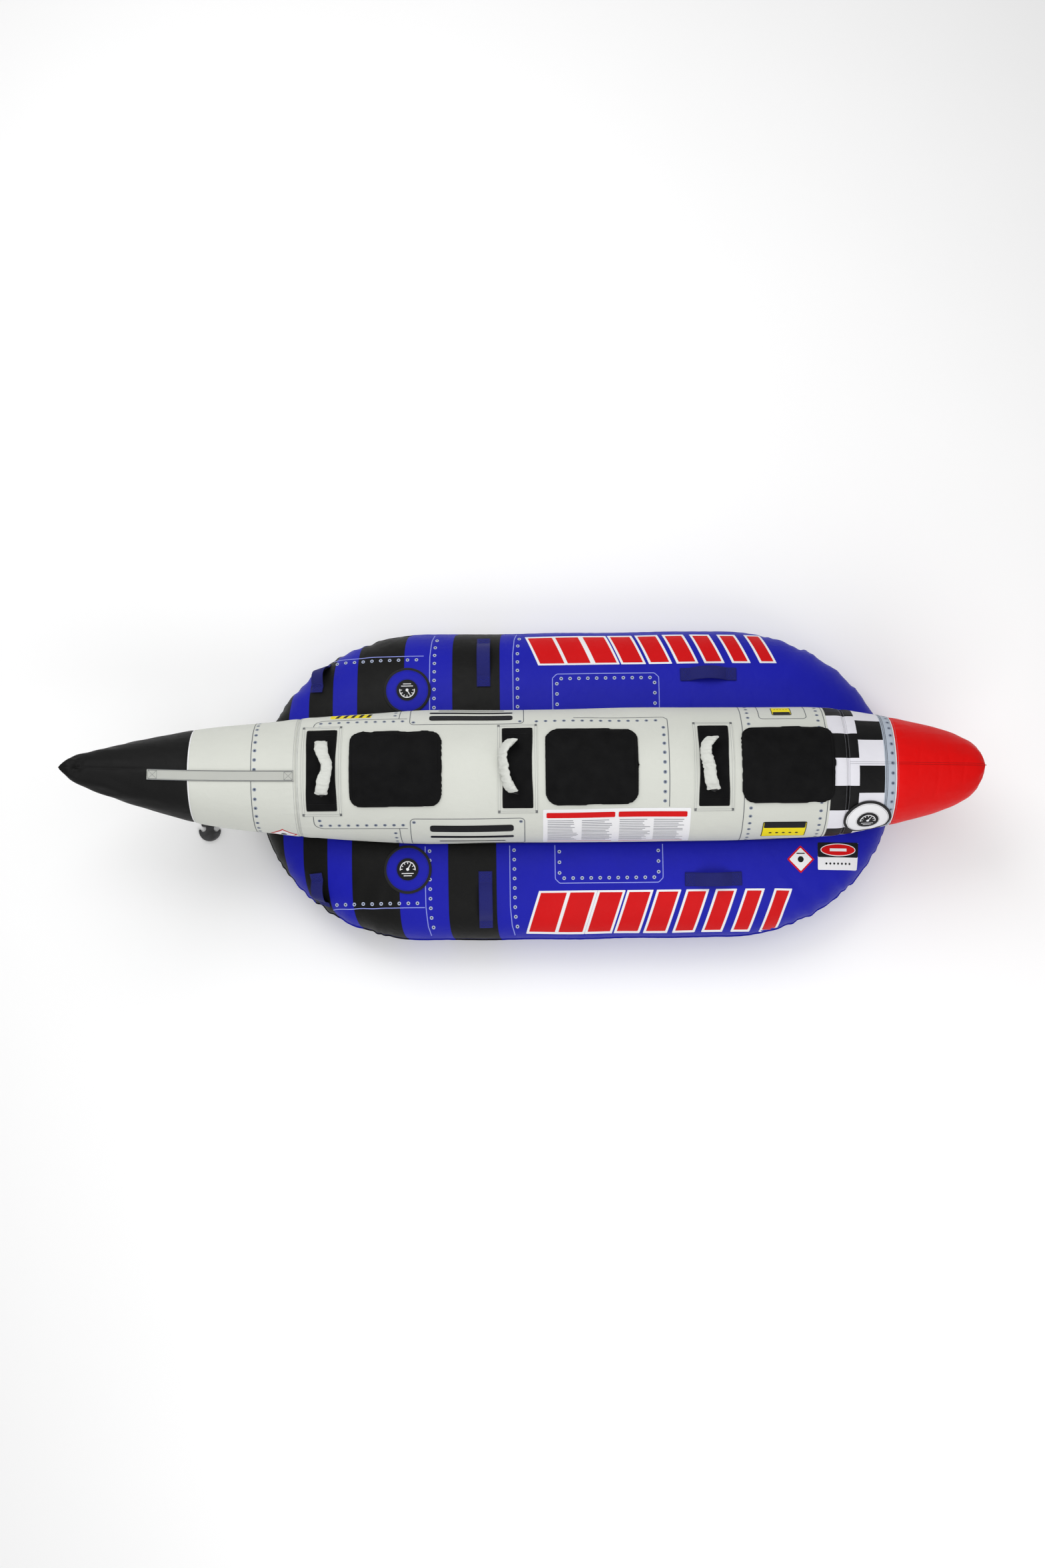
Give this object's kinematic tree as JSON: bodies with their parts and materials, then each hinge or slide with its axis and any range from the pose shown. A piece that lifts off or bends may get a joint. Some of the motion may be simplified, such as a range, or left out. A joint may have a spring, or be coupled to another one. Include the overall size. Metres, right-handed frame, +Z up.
{
  "type": "towable tube",
  "caption": "Inflatable towable water tube: rocket-shaped fuselage on two side pontoons, with padded seats, grips, webbing handles, air valves and a tow hook.",
  "frame": {"origin": "on the floor under the middle of the whole tube", "axes": "+X from bow to stern, +Y to the riders' right, +Z up"},
  "size_m": [3.292, 1.172, 0.7637],
  "materials": {
    "bow_nylon": "satin",
    "grey_nylon": "satin",
    "checker_nylon": "satin",
    "red_nylon": "satin",
    "blue_nylon": "satin",
    "bladder_pvc": "matte",
    "valve_plastic": "satin",
    "flap_blue": "satin",
    "flap_white": "satin",
    "pad_foam": "matte",
    "guard_neoprene": "matte",
    "grip_white": "matte",
    "webbing_black": "matte",
    "webbing_grey": "matte",
    "webbing_blue": "matte",
    "hook_plastic": "gloss",
    "zip_tape": "matte",
    "zip_slider": "satin"
  },
  "bodies": {
    "tube": {"bow_cone_cover": "bow_nylon", "forward_cover": "grey_nylon", "body_cover": "grey_nylon", "checker_cover": "checker_nylon", "stern_cone_cover": "red_nylon", "centre_bladder": "bladder_pvc", "centre_valve_base": "valve_plastic", "bow_strap": "webbing_grey", "keel_strap": "webbing_grey", "tow_gusset": "webbing_black", "centre_zip": "zip_tape", "seat_pad_1": "pad_foam", "knuckle_guard_1": "guard_neoprene", "handle_patch_1": "grey_nylon", "seat_pad_2": "pad_foam", "knuckle_guard_2": "guard_neoprene", "handle_patch_2": "grey_nylon", "seat_pad_3": "pad_foam", "knuckle_guard_3": "guard_neoprene", "handle_patch_3": "grey_nylon", "left_pontoon_cover": "blue_nylon", "left_bladder": "bladder_pvc", "left_seam_welt": "blue_nylon", "left_join_strip": "webbing_black", "left_valve_base": "valve_plastic", "left_handle_bow": "webbing_blue", "left_handle_side": "webbing_blue", "left_handle_stern": "webbing_blue", "left_zip": "zip_tape", "right_pontoon_cover": "blue_nylon", "right_bladder": "bladder_pvc", "right_seam_welt": "blue_nylon", "right_join_strip": "webbing_black", "right_valve_base": "valve_plastic", "right_handle_bow": "webbing_blue", "right_handle_side": "webbing_blue", "right_handle_stern": "webbing_blue", "right_zip": "zip_tape"},
    "right_flap": {"right_valve_flap": "flap_blue"},
    "right_cap": {"right_valve_cap": "valve_plastic"},
    "right_slider": {"right_zip_slider": "zip_slider"},
    "left_flap": {"left_valve_flap": "flap_blue"},
    "left_cap": {"left_valve_cap": "valve_plastic"},
    "left_slider": {"left_zip_slider": "zip_slider"},
    "centre_flap": {"centre_valve_flap": "flap_white"},
    "centre_cap": {"centre_valve_cap": "valve_plastic"},
    "centre_slider": {"centre_zip_slider": "zip_slider"},
    "grip_1": {"grip_sleeve_1": "grip_white", "grip_webbing_1": "webbing_black"},
    "grip_2": {"grip_sleeve_2": "grip_white", "grip_webbing_2": "webbing_black"},
    "grip_3": {"grip_sleeve_3": "grip_white", "grip_webbing_3": "webbing_black"},
    "tow_strap": {"tow_strap": "webbing_black"},
    "tow_hook": {"tow_hook": "hook_plastic"}
  },
  "joints": [
    {"name": "right_flap_hinge", "type": "hinge", "parent": "tube", "child": "right_flap", "pos_m": [-0.538, 0.3335, 0.36111], "axis": [0, -0.9974, 0.0716], "range_deg": [0, 110]},
    {"name": "right_cap_turn", "type": "hinge", "parent": "tube", "child": "right_cap", "pos_m": [-0.45, 0.333, 0.35413], "axis": [0, 0.0716, 0.9974], "continuous": true},
    {"name": "right_zip_slide", "type": "slide", "parent": "tube", "child": "right_slider", "axis": [1, 0, 0], "range_m": [0, 0.92]},
    {"name": "left_flap_hinge", "type": "hinge", "parent": "tube", "child": "left_flap", "pos_m": [-0.538, -0.3335, 0.36111], "axis": [0, -0.9974, -0.0716], "range_deg": [0, 110]},
    {"name": "left_cap_turn", "type": "hinge", "parent": "tube", "child": "left_cap", "pos_m": [-0.45, -0.333, 0.35413], "axis": [0, -0.0716, 0.9974], "continuous": true},
    {"name": "left_zip_slide", "type": "slide", "parent": "tube", "child": "left_slider", "axis": [1, 0, 0], "range_m": [0, 0.92]},
    {"name": "centre_flap_hinge", "type": "hinge", "parent": "tube", "child": "centre_flap", "pos_m": [1.12327, -0.20382, 0.52739], "axis": [0, -0.5, -0.866], "range_deg": [0, 110]},
    {"name": "centre_cap_turn", "type": "hinge", "parent": "tube", "child": "centre_cap", "pos_m": [1.21, -0.18687, 0.52265], "axis": [0.1691, -0.8535, 0.4928], "continuous": true},
    {"name": "centre_zip_slide", "type": "slide", "parent": "tube", "child": "centre_slider", "axis": [1, 0, 0], "range_m": [0, 0.76]},
    {"name": "grip_1_flop", "type": "hinge", "parent": "tube", "child": "grip_1", "pos_m": [-0.74, 0, 0.62946], "axis": [0, 1, 0], "range_deg": [-57, 33]},
    {"name": "grip_2_flop", "type": "hinge", "parent": "tube", "child": "grip_2", "pos_m": [-0.043, 0, 0.64069], "axis": [0, 1, 0], "range_deg": [-3, 87]},
    {"name": "grip_3_flop", "type": "hinge", "parent": "tube", "child": "grip_3", "pos_m": [0.654, 0, 0.64003], "axis": [0, 1, 0], "range_deg": [-23, 67]},
    {"name": "tow_strap_swing", "type": "hinge", "parent": "tube", "child": "tow_strap", "pos_m": [-1.234, 0, 0.31648], "axis": [-1, 0, 0], "range_deg": [0, 70]},
    {"name": "tow_hook_turn", "type": "hinge", "parent": "tow_strap", "child": "tow_hook", "pos_m": [-1.234, -0.098, 0.0066], "axis": [-1, 0, 0], "range_deg": [0, 60]}
  ]
}
